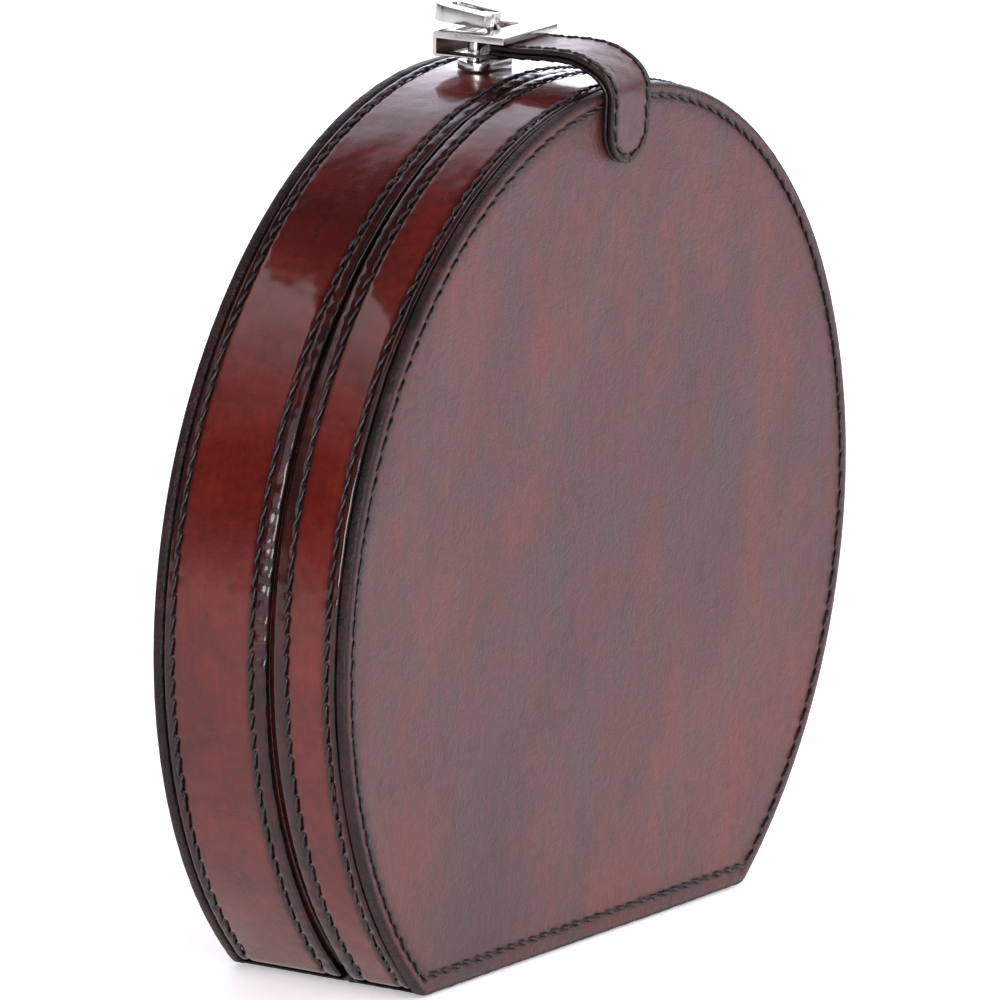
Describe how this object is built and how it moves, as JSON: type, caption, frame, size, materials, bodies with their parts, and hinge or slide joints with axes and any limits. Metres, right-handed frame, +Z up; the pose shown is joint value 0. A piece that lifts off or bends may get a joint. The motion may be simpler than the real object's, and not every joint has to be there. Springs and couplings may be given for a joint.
{
  "type": "hat box",
  "caption": "Round leather hat box with a flat base: two shells hinged at the base, shut at the top by a strap with a metal clasp over a post and folding loop.",
  "frame": {"origin": "middle of the footprint, at floor level", "axes": "+X to the right across the box, +Y from the front face to the back, +Z up"},
  "size_m": [0.26, 0.0622, 0.2462],
  "materials": {
    "band_leather": "gloss, hand coloured burgundy",
    "face_leather": "semi-gloss, mottled brown burgundy",
    "base_leather": "satin, dark red brown",
    "lining_cloth": "matt",
    "board": "matt",
    "nickel": "polished"
  },
  "bodies": {
    "rear_shell": {"rear_panel": "band_leather", "rear_panel_board": "board", "rear_panel_lining": "lining_cloth", "rear_band": "band_leather", "rear_band_lining": "lining_cloth", "rear_sole": "base_leather", "inner_collar": "base_leather", "lock_base_plate": "nickel", "lock_back_plate": "nickel", "lock_post": "nickel", "loop_pin": "nickel"},
    "front_shell": {"front_panel": "face_leather", "front_panel_board": "board", "front_panel_lining": "lining_cloth", "front_band": "band_leather", "front_band_lining": "lining_cloth", "front_sole": "base_leather", "strap_tip_outer": "band_leather", "strap_tip_backing": "base_leather"},
    "strap": {"strap_outer": "band_leather", "strap_backing": "base_leather", "clasp_plate": "nickel"},
    "loop": {"lock_loop": "nickel"}
  },
  "joints": [
    {"name": "lid_hinge", "type": "hinge", "parent": "rear_shell", "child": "front_shell", "pos_m": [0, -0.0048, 0], "axis": [1, 0, 0], "range_deg": [0, 170]},
    {"name": "strap_lift", "type": "hinge", "parent": "front_shell", "child": "strap", "pos_m": [0, -0.0311, 0.22815], "axis": [1, 0, 0], "range_deg": [0, 100]},
    {"name": "loop_lift", "type": "hinge", "parent": "rear_shell", "child": "loop", "pos_m": [0, 0.0128, 0.2431], "axis": [1, 0, 0], "range_deg": [0, 90]}
  ]
}
